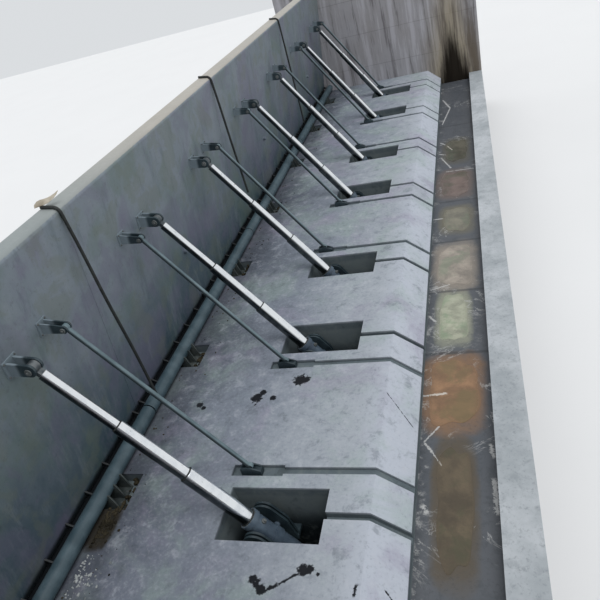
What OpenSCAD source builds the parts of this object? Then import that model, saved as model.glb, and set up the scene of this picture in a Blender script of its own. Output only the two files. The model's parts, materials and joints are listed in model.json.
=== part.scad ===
// Hydraulic flap gate across a weir: four leaves hinged along their feet,
// each held up by two telescopic cylinders that stand in pits of the floor
// slab and by two struts whose feet rest in seats at the head of slots.
// X runs downstream, Y along the hinge line and Z up. The origin is the
// middle of the underside of the foundation.

/* [Layout] */
// Number of leaves along the hinge line
leaf_count = 4; // [1:1:4]
// Distance from one leaf joint to the next
leaf_pitch = 6000; // [5600:50:6600]
// Open joint between neighbouring leaves
leaf_joint = 24; // [16:2:60]
// Distance of each cylinder from the middle of its leaf
cylinder_offset = 1200; // [1050:10:1320]
// Distance of each strut from the middle of its leaf
strut_offset = 1890; // [1840:10:2200]

/* [Foundation] */
// Depth of the foundation below the slab
slab_depth = 1800; // [1700:10:2200]
// Slab length upstream of the hinge axis
slab_upstream = 1470; // [1200:10:2000]
// Distance from the hinge axis to the head of the bevel
bevel_head = 3918; // [3700:1:4200]
// Length of the bevel on plan
bevel_run = 447; // [300:1:500]
// Drop of the bevel below the slab
bevel_drop = 376; // [250:2:450]
// Clear width of the drain trench
trench_width = 1060; // [900:10:1300]
// Depth of the trench bed below the foot of the bevel
trench_depth = 224; // [120:2:300]
// Width of the outer curb
curb_width = 467; // [400:1:600]
// Height of the sill under the foot of each leaf
sill_height = 95; // [70:1:95]
// Width of that sill
sill_width = 300; // [200:10:320]

/* [Abutments] */
// Thickness of each end wall
wall_thickness = 800; // [500:10:1000]
// Height of each end wall above the slab
wall_height = 4500; // [4100:50:5200]
// Bevel along the top corners of each end wall
wall_chamfer = 40; // [10:5:80]

/* [Pits and slots] */
// Distance from the hinge axis to the near wall of each pit
pit_start = 1945; // [1890:5:1990]
// Length of each pit across the slab
pit_length = 1395; // [1380:5:1500]
// Width of each pit along the hinge line
pit_width = 800; // [760:10:900]
// Depth of each pit
pit_depth = 1450; // [1420:10:1600]
// Width of the slot that drains each pit
drain_slot_width = 105; // [80:5:140]
// Depth of that slot
drain_slot_depth = 110; // [60:5:160]
// Distance from the hinge axis to the pocket at the head of each strut slot
pocket_start = 1855; // [1810:5:1930]
// Length of that pocket
pocket_length = 775; // [700:5:900]
// Width of that pocket
pocket_width = 190; // [180:5:240]
// Depth of that pocket
pocket_depth = 60; // [40:5:100]
// Width of each strut slot beyond its pocket
strut_slot_width = 115; // [80:5:140]
// Depth of each strut slot
strut_slot_depth = 50; // [40:5:60]

/* [Hinge] */
// Height of the hinge axis above the slab
hinge_height = 126; // [124:1:150]
// Radius of the hinge tube
tube_radius = 118; // [100:1:118]
// Wall of the hinge tube
tube_wall = 18; // [10:1:30]
// Number of gusset plates on each leaf
gusset_count = 12; // [6:1:14]
// Thickness of each gusset plate
gusset_thickness = 25; // [16:1:40]
// Height of each gusset plate along the leaf
gusset_height = 70; // [50:5:200]
// Distance of the outermost gusset plates from the ends of the leaf
gusset_margin = 110; // [60:5:300]
// Distance of each hinge bearing from the middle of its leaf
bearing_offset = 1500; // [1400:10:1700]
// Number of plates in each hinge bearing
bearing_plates = 3; // [2:1:4]
// Distance between those plates
bearing_step = 190; // [140:5:190]
// Thickness of each bearing plate
bearing_plate = 24; // [16:1:36]
// Width of the bearing plates at the hinge tube
bearing_head = 290; // [270:5:320]
// Width of the bearing plates at their base
bearing_foot = 420; // [340:5:440]
// Height of the bearing plates up the side of the hinge tube
bearing_grip = 15; // [0:1:30]
// Thickness of the base plate of each hinge bearing
bearing_base = 25; // [15:1:40]
// Length of the block-out round each hinge bearing
blockout_length = 620; // [500:10:800]
// Reach of the block-out downstream of the hinge axis
blockout_reach = 415; // [280:5:480]
// Depth of the block-out
blockout_depth = 170; // [100:5:250]

/* [Leaf] */
// Lean of the raised leaf from the vertical in degrees
leaf_lean = 8.4; // [6:0.1:11]
// Distance from the hinge axis back to the face of the leaf
face_offset = 232; // [215:1:260]
// Thickness of the leaf
leaf_thickness = 280; // [200:5:320]
// Length of the leaf above the hinge axis
leaf_height = 3729; // [3400:1:4000]
// Length of the leaf below the hinge axis
leaf_foot = 36; // [20:1:45]
// Rounding of the downstream edge of the crest
crest_round = 73; // [50:1:110]
// Rounding of the upstream edge of the crest
back_round = 35; // [10:1:60]
// Distance of the lifting lug up the leaf
lug_height = 1269; // [1100:1:1500]
// Radius of the lifting lug
lug_radius = 45; // [30:1:60]
// Projection of the lifting lug
lug_projection = 70; // [40:5:100]

/* [Cylinder brackets] */
// Distance of the pin line up the leaf from the hinge axis
pin_up = 2592; // [2450:1:2720]
// Distance of the pin line from the face of the leaf
pin_stand_off = 299; // [280:1:340]
// Radius of the cylinder pin
pin_radius = 32; // [24:1:40]
// Rounding radius of the cylinder bracket ears
ear_radius = 85; // [74:1:95]
// Thickness of each cylinder bracket ear
ear_thickness = 32; // [20:1:45]
// Gap between the two ears of a cylinder bracket
ear_gap = 102; // [100:1:120]
// Half length of each bracket along the leaf
ear_base = 90; // [88:1:180]
// Thickness of the pad under each bracket
pad_thickness = 20; // [12:1:30]

/* [Telescopic cylinders] */
// Tilt of the raised cylinder from the vertical in degrees
cylinder_tilt = 33.22; // [31:0.01:35]
// Distance from the pin to the head of the rod
rod_start = 130; // [126:1:170]
// Radius of the rod
rod_radius = 70; // [60:0.5:76]
// Visible length of the raised rod
rod_show = 1074; // [1066:1:1086]
// Wall of the middle and lower stages
stage_wall = 18; // [14:0.5:20]
// Visible length of the raised middle stage
middle_show = 1073; // [1066:1:1082]
// Visible length of the raised lower stage
lower_show = 1051; // [1042:1:1058]
// Length of each stage that stays inside the next one
stage_overlap = 120; // [90:5:140]
// Clearance of the sliding stages
fit_gap = 0.5; // [0.3:0.1:0.8]
// Clearance of the pins and of the hinge tube in their bearings
pin_gap = 0.08; // [0.05:0.01:0.1]
// Wall of the barrel
barrel_wall = 24; // [18:1:30]
// Length of the barrel
barrel_length = 1255; // [1245:5:1290]
// Length of the gland collar at the head of the barrel
gland_length = 70; // [50:5:100]
// Height of the collars that stand out from the barrel
collar_rise = 16; // [8:1:20]
// Radius of the trunnion pins
trunnion_radius = 45; // [35:1:55]
// Reach of the trunnion pins from the cylinder axis
trunnion_reach = 300; // [290:1:340]
// Thickness of the eye at the head of the rod
eye_thickness = 90; // [70:1:96]

/* [Trunnion bearings] */
// Distance from the cylinder axis to the inner cheek
cheek_start = 185; // [175:1:200]
// Thickness of each cheek
cheek_thickness = 30; // [20:1:36]
// Distance from the inner cheek to the outer one
cheek_step = 57; // [50:1:70]
// Radius of the rounded head of each cheek
cheek_radius = 165; // [140:1:175]
// Distance from the trunnion up to the head of each cheek
cheek_rise = 241; // [160:1:300]
// Depth of the shelf below the trunnion
shelf_drop = 300; // [240:5:340]
// Thickness of the shelf
shelf_thickness = 45; // [30:1:60]

/* [Struts] */
// Height of the foot of the raised strut above the slab
strut_foot_height = 90; // [88:1:110]
// Distance from the hinge axis to the foot of the raised strut
strut_foot_reach = 2147; // [2080:1:2190]
// Radius of the strut tube
strut_radius = 35; // [28:1:35]
// Radius of the eye and of the foot of the strut
strut_end_radius = 50; // [44:1:56]
// Thickness of the eye and of the foot of the strut
strut_end_thickness = 60; // [40:1:70]
// Distance of the strut pin up the leaf from the hinge axis
strut_pin_up = 2638; // [2500:1:2760]
// Distance of the strut pin from the face of the leaf
strut_pin_stand_off = 337; // [310:1:370]
// Radius of the strut pin
strut_pin_radius = 24; // [16:1:28]
// Half length of each strut bracket along the leaf
strut_ear_base = 75; // [60:5:140]
// Thickness of each strut bracket ear
strut_ear_thickness = 20; // [12:1:28]
// Side gap at the strut eye and at the strut foot
strut_side_gap = 6; // [5:1:10]
// Length of the seat under each strut foot
seat_length = 300; // [280:5:420]
// Thickness of the floor of the seat
seat_floor = 24; // [15:1:30]
// Thickness of the cheeks of the seat
seat_cheek = 22; // [14:1:30]
// Height of the cheeks of the seat above the slab
seat_rise = 95; // [85:5:150]

/* [Joint ropes] */
// Radius of each rope that hangs at a leaf joint
rope_radius = 24; // [15:1:30]

/* [Hidden] */
$fn = 64;
row_length = leaf_count * leaf_pitch;
foot_of_bevel = bevel_head + bevel_run;
curb_face = foot_of_bevel + trench_width;
slab_downstream = curb_face + curb_width;
base_length = slab_upstream + slab_downstream;
hinge_x = slab_upstream - base_length / 2;
leaf_width = leaf_pitch - leaf_joint;
fuse = 1;
through = 20;

// Leaf directions on the X and Z plane, and the pin line measured from the hinge axis
up_dir = [sin(leaf_lean), cos(leaf_lean)];
out_dir = [cos(leaf_lean), -sin(leaf_lean)];
pin_out = pin_stand_off - face_offset;
pin_point = pin_up * up_dir + pin_out * out_dir;

// Axis of the raised cylinder, from the pin down to the trunnion. The trunnion
// and the pin are equally far from the hinge axis, so the cylinder turns half as
// far as the leaf does.
axis_dir = [sin(cylinder_tilt), -cos(cylinder_tilt)];
trunnion_distance = -2 * (pin_point * axis_dir);
trunnion_point = pin_point + trunnion_distance * axis_dir;

middle_start = rod_start + rod_show;
lower_start = middle_start + middle_show;
barrel_start = lower_start + lower_show;
middle_bore = rod_radius + fit_gap;
middle_radius = middle_bore + stage_wall;
lower_bore = middle_radius + fit_gap;
lower_radius = lower_bore + stage_wall;
barrel_bore = lower_radius + fit_gap;
barrel_radius = barrel_bore + barrel_wall;
collar_radius = barrel_radius + collar_rise;
trunnion_collar = 2 * trunnion_radius + 40;
barrel_floor = 40;
chrome_bevel = 6;
eye_radius = ear_radius - 7;
eye_neck = 60;

// Strut from its own pin to its foot
strut_pin_out = strut_pin_stand_off - face_offset;
strut_pin_point = strut_pin_up * up_dir + strut_pin_out * out_dir;
foot_point = [strut_foot_reach, strut_foot_height - hinge_height];
strut_span = foot_point - strut_pin_point;
strut_length = norm(strut_span);
strut_tilt = atan2(strut_span[0], -strut_span[1]);
strut_ear_gap = strut_end_thickness + 2 * strut_side_gap;
strut_ear_radius = strut_end_radius + 5;
seat_inner = strut_end_thickness + 2 * strut_side_gap;
seat_width = seat_inner + 2 * seat_cheek;
seat_back = strut_foot_reach - strut_end_radius - 90;

gusset_low = 12;
gusset_bite = 6;
wall_joint = 0;
rope_sides = 10;
rope_press = 0.5;
rope_bend = crest_round + rope_radius - rope_press;
rope_step = 170;
rope_sway = 7;
rope_wave = 1900;
// Heights above the slab at which the ropes end
rope_ends = [400, 1180, 780];
// Points on the crest at which the ropes lie, measured back from its inner edge
rope_lie = [-177, -135, -90, -45, 0];
rope_turn = [22, 36, 50, 64, 78];

function leaf_y(n) = (n - (leaf_count + 1) / 2) * leaf_pitch;
function joint_y(n) = leaf_y(n) + leaf_pitch / 2;

// Moves what is drawn from the hinge axis at slab level into place
module at_slab(y = 0) {
    translate([hinge_x, y, slab_depth])
        children();
}

// Moves what is drawn from the hinge axis itself into place
module at_hinge(y = 0) {
    translate([hinge_x, y, slab_depth + hinge_height])
        children();
}

// Turns what is drawn with Z up the leaf and X out of its face into the leaf's lean
module in_leaf(y = 0) {
    at_hinge(y)
        rotate([0, leaf_lean, 0])
            children();
}

// Puts what is drawn with Z down the cylinder, from the pin, on the cylinder's axis
module on_cylinder_axis(y) {
    at_hinge(y)
        translate([pin_point[0], 0, pin_point[1]])
            rotate([0, 180 - cylinder_tilt, 0])
                children();
}

// Puts what is drawn with Z down the strut, from the pin, on the strut's axis
module on_strut_axis(y) {
    at_hinge(y)
        translate([strut_pin_point[0], 0, strut_pin_point[1]])
            rotate([0, 180 - strut_tilt, 0])
                children();
}

// Extrudes a profile drawn on X and Z along Y, centred on the plane of the profile
module along_y(width) {
    rotate([90, 0, 0])
        linear_extrude(height = width, center = true)
            children();
}

// A round bar along Y
module bar_y(radius, length) {
    rotate([90, 0, 0])
        cylinder(r = radius, h = length, center = true);
}

// A pipe along Z
module pipe_z(radius, bore, length) {
    difference() {
        cylinder(r = radius, h = length);
        translate([0, 0, -fuse])
            cylinder(r = bore, h = length + 2 * fuse);
    }
}

// Cross section of the slab of one bay, from the upstream edge to the foot of the bevel
module slab_section() {
    sill_back = -face_offset - sill_width;
    sill_front = -face_offset;
    polygon([
        [-slab_upstream, -slab_depth],
        [foot_of_bevel, -slab_depth],
        [foot_of_bevel, -bevel_drop],
        [bevel_head, 0],
        [sill_front, 0],
        [sill_front - 20, sill_height],
        [sill_back + 60, sill_height],
        [sill_back, 0],
        [-slab_upstream, 0]
    ]);
}

// A slot of even depth that runs from start down the bevel and out of its foot
module slot_cut(start, width, depth) {
    along_y(width)
        polygon([
            [start, -depth],
            [bevel_head, -depth],
            [foot_of_bevel + through, -bevel_drop - depth - through * bevel_drop / bevel_run],
            [foot_of_bevel + through, through],
            [start, through]
        ]);
}

module pit_cut() {
    translate([pit_start, -pit_width / 2, -pit_depth])
        cube([pit_length, pit_width, pit_depth + through]);
}

module pocket_cut() {
    translate([pocket_start, -pocket_width / 2, -pocket_depth])
        cube([pocket_length, pocket_width, pocket_depth + through]);
}

module blockout_cut() {
    back = bearing_foot / 2 + 5;
    translate([-back, -blockout_length / 2, -blockout_depth])
        cube([back + blockout_reach, blockout_length, blockout_depth + through]);
}

module bay_slab(n) {
    color([0.60, 0.60, 0.64])
        at_slab(leaf_y(n))
            difference() {
                along_y(leaf_pitch)
                    slab_section();
                for (side = [-1, 1]) {
                    translate([0, side * cylinder_offset, 0]) {
                        pit_cut();
                        slot_cut(pit_start + pit_length - fuse, drain_slot_width, drain_slot_depth);
                    }
                    translate([0, side * strut_offset, 0]) {
                        pocket_cut();
                        slot_cut(pocket_start + pocket_length - fuse, strut_slot_width, strut_slot_depth);
                    }
                    translate([0, side * bearing_offset, 0])
                        blockout_cut();
                }
            }
}

module drain_channel() {
    bed = -bevel_drop - trench_depth;
    color([0.55, 0.50, 0.46])
        at_slab()
            along_y(row_length)
                polygon([
                    [foot_of_bevel, -slab_depth],
                    [slab_downstream, -slab_depth],
                    [slab_downstream, -bevel_drop],
                    [curb_face, -bevel_drop],
                    [curb_face, bed],
                    [foot_of_bevel, bed]
                ]);
}

// End wall beside the last leaf, with bevelled top corners; side is 1 or -1
module abutment(side) {
    profile = [
        [0, -slab_depth],
        [wall_thickness, -slab_depth],
        [wall_thickness, wall_height - wall_chamfer],
        [wall_thickness - wall_chamfer, wall_height],
        [wall_chamfer, wall_height],
        [0, wall_height - wall_chamfer]
    ];
    color([0.58, 0.57, 0.58])
        at_slab(side * row_length / 2)
            translate([-slab_upstream, 0, 0])
                rotate([90, 0, 90])
                    linear_extrude(height = base_length)
                        polygon([for (p = profile) [side * p[0], p[1]]]);
}

// Saddle plates that hold the hinge tube, on a base plate in the bottom of the block-out
module hinge_bearing() {
    run = (bearing_plates - 1) * bearing_step;
    base_top = -blockout_depth + bearing_base;
    difference() {
        union() {
            for (i = [0:bearing_plates - 1])
                translate([0, i * bearing_step - run / 2, 0])
                    along_y(bearing_plate)
                        polygon([
                            [-bearing_foot / 2, base_top - fuse],
                            [bearing_foot / 2, base_top - fuse],
                            [bearing_head / 2, hinge_height + bearing_grip],
                            [-bearing_head / 2, hinge_height + bearing_grip]
                        ]);
            translate([-bearing_foot / 2, -run / 2 - bearing_plate, -blockout_depth])
                cube([bearing_foot, run + 2 * bearing_plate, bearing_base]);
        }
        translate([0, 0, hinge_height])
            bar_y(tube_radius + pin_gap, run + 2 * bearing_plate);
    }
}

module hinge_bearings() {
    color([0.25, 0.28, 0.30])
        for (n = [1:leaf_count], side = [-1, 1])
            at_slab(leaf_y(n) + side * bearing_offset)
                hinge_bearing();
}

// Outline of a bearing cheek: a round head above the trunnion, and a foot on the shelf
module cheek_outline() {
    head = -cheek_rise * axis_dir;
    side_step = cheek_radius * [axis_dir[1], -axis_dir[0]];
    foot = cheek_radius + 60;
    difference() {
        union() {
            circle(r = cheek_radius);
            translate(head)
                circle(r = cheek_radius);
            polygon([side_step, head + side_step, head - side_step, -side_step]);
            polygon([[-foot, -shelf_drop], [foot, -shelf_drop], [cheek_radius, 0], [-cheek_radius, 0]]);
        }
        circle(r = trunnion_radius + pin_gap);
    }
}

// Pair of cheeks on a shelf that is fixed to the side wall of the pit; side is 1 or -1
module trunnion_bearing(side) {
    foot = cheek_radius + 60;
    shelf_reach = pit_width / 2 - cheek_start;
    scale_side = side > 0 ? 0 : 1;
    mirror([0, scale_side, 0]) {
        for (step = [0, cheek_step])
            translate([0, cheek_start + step + cheek_thickness / 2, 0])
                along_y(cheek_thickness)
                    cheek_outline();
        translate([-foot, cheek_start, -shelf_drop - shelf_thickness])
            cube([2 * foot, shelf_reach, shelf_thickness + fuse]);
    }
}

module trunnion_bearings() {
    color([0.16, 0.20, 0.24])
        for (n = [1:leaf_count], place = [-1, 1], side = [-1, 1])
            at_hinge(leaf_y(n) + place * cylinder_offset)
                translate([trunnion_point[0], 0, trunnion_point[1]])
                    trunnion_bearing(side);
}

// Seat under a strut foot: a floor, two cheeks and a back, open downstream
module strut_seat() {
    floor_top = strut_foot_height - strut_end_radius - fit_gap;
    difference() {
        translate([seat_back, -seat_width / 2, -pocket_depth])
            cube([seat_length, seat_width, pocket_depth + seat_rise]);
        translate([seat_back + seat_floor, -seat_inner / 2, floor_top])
            cube([seat_length, seat_inner, seat_rise]);
        along_y(seat_width + through)
            polygon([
                [seat_back + seat_length * 0.55, seat_rise + fuse],
                [seat_back + seat_length + fuse, seat_rise + fuse],
                [seat_back + seat_length + fuse, floor_top]
            ]);
        along_y(seat_width + through)
            polygon([
                [seat_back - fuse, seat_rise + fuse],
                [seat_back + seat_length * 0.2, seat_rise + fuse],
                [seat_back - fuse, floor_top + 40]
            ]);
    }
}

module strut_seats() {
    color([0.10, 0.22, 0.22])
        for (n = [1:leaf_count], side = [-1, 1])
            at_slab(leaf_y(n) + side * strut_offset)
                strut_seat();
}

// Section of a leaf with rounded crest edges, X out of the face and Y up the leaf
module leaf_section() {
    back = -face_offset - leaf_thickness;
    polygon([
        [-face_offset, -leaf_foot],
        [-face_offset, leaf_height - crest_round],
        [-face_offset - crest_round, leaf_height],
        [back + back_round, leaf_height],
        [back, leaf_height - back_round],
        [back, -leaf_foot]
    ]);
    translate([-face_offset - crest_round, leaf_height - crest_round])
        circle(r = crest_round);
    translate([back + back_round, leaf_height - back_round])
        circle(r = back_round);
}

module leaf_panel(n) {
    color([0.44, 0.50, 0.55])
        in_leaf(leaf_y(n)) {
            along_y(leaf_width)
                leaf_section();
            translate([-face_offset - fuse, 0, lug_height])
                rotate([0, 90, 0])
                    cylinder(r = lug_radius, h = lug_projection + fuse);
        }
}

// Outline of a gusset between the foot of the leaf and the hinge tube
module gusset_outline() {
    tube_side = -tube_radius + gusset_bite;
    polygon([
        [-face_offset, gusset_low],
        [tube_side, gusset_low],
        [tube_side, gusset_low + 20],
        [-face_offset, gusset_low + gusset_height]
    ]);
}

module hinge_tube(n) {
    first = gusset_margin - leaf_width / 2;
    gusset_step = -2 * first / (gusset_count - 1);
    color([0.40, 0.50, 0.52])
        in_leaf(leaf_y(n)) {
            rotate([90, 0, 0])
                translate([0, 0, -leaf_width / 2])
                    pipe_z(tube_radius, tube_radius - tube_wall, leaf_width);
            for (i = [0:gusset_count - 1])
                translate([0, first + i * gusset_step, 0])
                    along_y(gusset_thickness)
                        gusset_outline();
        }
}

// Outline of a bracket ear: a base on the pad and a round end at the pin, which is
// drawn at the origin; the sides are tangent to the round end
module ear_outline(radius, half_base, reach) {
    corner_distance = norm([reach, half_base]);
    base_angle = atan2(half_base, reach);
    tangent_angle = acos(radius / corner_distance);
    side_angle = 180 - base_angle - tangent_angle;
    tangent = radius * [cos(side_angle), sin(side_angle)];
    union() {
        circle(r = radius);
        polygon([
            [-reach, -half_base],
            [tangent[0], -tangent[1]],
            tangent,
            [-reach, half_base]
        ]);
    }
}

// Two ears with their pin on a pad that is fixed to the face of the leaf
module pin_bracket(radius, half_base, stand_off, gap, thickness, pin) {
    reach = stand_off - pad_thickness + fuse;
    full_width = gap + 2 * thickness;
    for (side = [-1, 1])
        translate([0, side * (gap + thickness) / 2, 0])
            along_y(thickness)
                ear_outline(radius, half_base, reach);
    bar_y(pin, full_width + 30);
    translate([-stand_off, -full_width / 2 - 40, -half_base - 30])
        cube([pad_thickness, full_width + 80, 2 * half_base + 60]);
}

module leaf_brackets(n) {
    color([0.22, 0.26, 0.28])
        for (side = [-1, 1]) {
            in_leaf(leaf_y(n) + side * cylinder_offset)
                translate([pin_out, 0, pin_up])
                    pin_bracket(ear_radius, ear_base, pin_stand_off, ear_gap, ear_thickness, pin_radius);
            in_leaf(leaf_y(n) + side * strut_offset)
                translate([strut_pin_out, 0, strut_pin_up])
                    pin_bracket(strut_ear_radius, strut_ear_base, strut_pin_stand_off, strut_ear_gap,
                        strut_ear_thickness, strut_pin_radius);
        }
}

// Top stage: a round rod with a flat eye that turns on the bracket pin
module rod() {
    difference() {
        union() {
            bar_y(eye_radius, eye_thickness);
            translate([-eye_neck / 2, -eye_thickness / 2, 0])
                cube([eye_neck, eye_thickness, rod_start + fuse]);
            translate([0, 0, rod_start])
                cylinder(r = rod_radius, h = rod_show + stage_overlap);
        }
        bar_y(pin_radius + pin_gap, eye_thickness + through);
    }
}

// A sliding stage: a pipe with a bevelled head
module stage(start, radius, bore, show) {
    translate([0, 0, start])
        difference() {
            union() {
                translate([0, 0, chrome_bevel])
                    cylinder(r = radius, h = show + stage_overlap - chrome_bevel);
                cylinder(r = radius - chrome_bevel, h = 2 * chrome_bevel);
            }
            translate([0, 0, -fuse])
                cylinder(r = bore, h = show + stage_overlap + 2 * fuse);
        }
}

// Fixed stage of the cylinder: gland collar, barrel, trunnion collar and trunnion pins
module barrel() {
    difference() {
        union() {
            translate([0, 0, barrel_start])
                cylinder(r = barrel_radius, h = barrel_length);
            translate([0, 0, barrel_start])
                cylinder(r = collar_radius, h = gland_length);
            translate([0, 0, barrel_start + barrel_length - barrel_floor])
                cylinder(r = collar_radius, h = barrel_floor);
            translate([0, 0, trunnion_distance - trunnion_collar / 2])
                cylinder(r = collar_radius, h = trunnion_collar);
            translate([0, 0, trunnion_distance])
                bar_y(trunnion_radius, 2 * trunnion_reach);
        }
        translate([0, 0, barrel_start - fuse])
            cylinder(r = barrel_bore, h = barrel_length - barrel_floor + fuse);
    }
}

module rods(n) {
    color([0.86, 0.88, 0.90])
        for (side = [-1, 1])
            on_cylinder_axis(leaf_y(n) + side * cylinder_offset)
                rod();
}

module middle_stages(n) {
    color([0.82, 0.84, 0.87])
        for (side = [-1, 1])
            on_cylinder_axis(leaf_y(n) + side * cylinder_offset)
                stage(middle_start, middle_radius, middle_bore, middle_show);
}

module lower_stages(n) {
    color([0.78, 0.80, 0.84])
        for (side = [-1, 1])
            on_cylinder_axis(leaf_y(n) + side * cylinder_offset)
                stage(lower_start, lower_radius, lower_bore, lower_show);
}

module barrels(n) {
    color([0.14, 0.18, 0.26])
        for (side = [-1, 1])
            on_cylinder_axis(leaf_y(n) + side * cylinder_offset)
                barrel();
}

// Support strut: an eye on the pin line, a round tube and a round foot
module strut() {
    difference() {
        union() {
            bar_y(strut_end_radius, strut_end_thickness);
            cylinder(r = strut_radius, h = strut_length);
            translate([0, 0, strut_length])
                bar_y(strut_end_radius, strut_end_thickness);
        }
        bar_y(strut_pin_radius + pin_gap, strut_end_thickness + through);
    }
}

module struts(n) {
    color([0.42, 0.50, 0.50])
        for (side = [-1, 1])
            on_strut_axis(leaf_y(n) + side * strut_offset)
                strut();
}

// Turns a point from the leaf's directions to distances from the hinge axis at slab level
function leaf_point(p) = p[0] * out_dir + p[1] * up_dir + [0, hinge_height];

// Route of a rope: over the crest of its leaf, round the inner edge and plumb down
function rope_route(n) =
    let (
        y = -rope_radius,
        edge = leaf_point([-face_offset - crest_round, leaf_height - crest_round]),
        hang_x = edge[0] + rope_bend,
        drop = edge[1] - rope_ends[n - 1],
        steps = round(drop / rope_step)
    )
    concat(
        [for (s = rope_lie) let (p = edge + rope_bend * up_dir + s * out_dir) [p[0], y, p[1]]],
        [for (a = rope_turn) [edge[0] + rope_bend * sin(a), y, edge[1] + rope_bend * cos(a)]],
        [for (i = [0:steps]) let (z = i * drop / steps)
            [hang_x, y + rope_sway * sin(360 * z / rope_wave), edge[1] - z]]
    );

// Sweeps a round tube along a route of points
function along(route, i) = i == 0 ? route[1] - route[0]
    : i == len(route) - 1 ? route[i] - route[i - 1]
    : route[i + 1] - route[i - 1];
function unit(v) = v / norm(v);
function ring(route, i) =
    let (
        t = unit(along(route, i)),
        a = unit(cross(t, [0, 1, 0])),
        b = cross(t, a)
    )
    [for (k = [0:rope_sides - 1])
        route[i] + rope_radius * (cos(360 * k / rope_sides) * a + sin(360 * k / rope_sides) * b)];

module swept_tube(route) {
    last = len(route) - 1;
    points = [for (i = [0:last]) each ring(route, i)];
    sides = [for (i = [0:last - 1], k = [0:rope_sides - 1])
        let (m = (k + 1) % rope_sides)
        [i * rope_sides + k, i * rope_sides + m, (i + 1) * rope_sides + m, (i + 1) * rope_sides + k]];
    start_cap = [for (k = [rope_sides - 1:-1:0]) k];
    end_cap = [for (k = [0:rope_sides - 1]) last * rope_sides + k];
    polyhedron(points = points, faces = concat([start_cap, end_cap], sides));
}

module joint_rope(n) {
    color([0.05, 0.06, 0.07])
        at_slab(joint_y(n))
            swept_tube(rope_route(n));
}

bay_slab(1);  // bay_slab_1
bay_slab(2);  // bay_slab_2
bay_slab(3);  // bay_slab_3
bay_slab(4);  // bay_slab_4
drain_channel();
abutment(-1);  // abutment_near
abutment(1);  // abutment_far
hinge_bearings();
trunnion_bearings();
strut_seats();
leaf_panel(1);  // leaf_panel_1
leaf_panel(2);  // leaf_panel_2
leaf_panel(3);  // leaf_panel_3
leaf_panel(4);  // leaf_panel_4
hinge_tube(1);  // hinge_tube_1
hinge_tube(2);  // hinge_tube_2
hinge_tube(3);  // hinge_tube_3
hinge_tube(4);  // hinge_tube_4
leaf_brackets(1);  // leaf_brackets_1
leaf_brackets(2);  // leaf_brackets_2
leaf_brackets(3);  // leaf_brackets_3
leaf_brackets(4);  // leaf_brackets_4
rods(1);  // rods_1
rods(2);  // rods_2
rods(3);  // rods_3
rods(4);  // rods_4
middle_stages(1);  // middle_stages_1
middle_stages(2);  // middle_stages_2
middle_stages(3);  // middle_stages_3
middle_stages(4);  // middle_stages_4
lower_stages(1);  // lower_stages_1
lower_stages(2);  // lower_stages_2
lower_stages(3);  // lower_stages_3
lower_stages(4);  // lower_stages_4
barrels(1);  // barrels_1
barrels(2);  // barrels_2
barrels(3);  // barrels_3
barrels(4);  // barrels_4
struts(1);  // struts_1
struts(2);  // struts_2
struts(3);  // struts_3
struts(4);  // struts_4
joint_rope(1);  // joint_rope_1
joint_rope(2);  // joint_rope_2
joint_rope(3);  // joint_rope_3
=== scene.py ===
"""Looks of the flap gate: materials, small fasteners, seals, water, ropes, light and camera.

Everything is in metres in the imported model's own frame: X downstream, Y along
the hinge line and Z up, with the origin under the middle of the foundation.
"""

import json
import math

import bmesh
import bpy
from mathutils import Matrix, Vector


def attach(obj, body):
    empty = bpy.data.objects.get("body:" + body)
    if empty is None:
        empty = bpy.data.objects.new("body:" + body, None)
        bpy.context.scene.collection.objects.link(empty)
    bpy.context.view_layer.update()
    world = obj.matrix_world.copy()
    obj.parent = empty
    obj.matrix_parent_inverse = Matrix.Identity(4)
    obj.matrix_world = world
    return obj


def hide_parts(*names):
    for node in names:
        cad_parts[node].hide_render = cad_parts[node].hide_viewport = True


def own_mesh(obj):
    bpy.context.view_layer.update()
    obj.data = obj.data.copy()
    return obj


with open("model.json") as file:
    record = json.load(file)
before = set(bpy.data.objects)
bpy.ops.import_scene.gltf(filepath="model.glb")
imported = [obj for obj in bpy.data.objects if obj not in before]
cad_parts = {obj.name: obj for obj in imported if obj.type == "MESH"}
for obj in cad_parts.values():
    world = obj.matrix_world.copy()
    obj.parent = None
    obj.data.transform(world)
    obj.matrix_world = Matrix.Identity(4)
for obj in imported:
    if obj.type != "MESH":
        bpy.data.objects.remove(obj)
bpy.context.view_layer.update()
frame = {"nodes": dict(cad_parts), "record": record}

# Sizes that repeat those of the part's source
LEAVES = (1, 2, 3, 4)
PITCH = 6.0
SLAB_TOP = 1.8
HINGE = Vector((-2.211, 0.0, 1.926))
LEAN = math.radians(8.4)
UP = Vector((math.sin(LEAN), 0.0, math.cos(LEAN)))
OUT = Vector((math.cos(LEAN), 0.0, -math.sin(LEAN)))
FACE = -0.232
LEAF_HEIGHT = 3.729
CREST_ROUND = 0.073
TUBE_RADIUS = 0.118
BEARING_OFFSET = 1.5
BLOCKOUT_DEPTH = 0.170
BEARING_BASE = 0.025
WALL_FACE = 2 * PITCH
PIN_UP = 2.592
PIN = HINGE + PIN_UP * UP + 0.067 * OUT
STRUT_PIN_UP = 2.638
STRUT_PIN = HINGE + STRUT_PIN_UP * UP + 0.105 * OUT
TILT = math.radians(33.22)
AXIS = Vector((math.sin(TILT), 0.0, -math.cos(TILT)))
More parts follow.
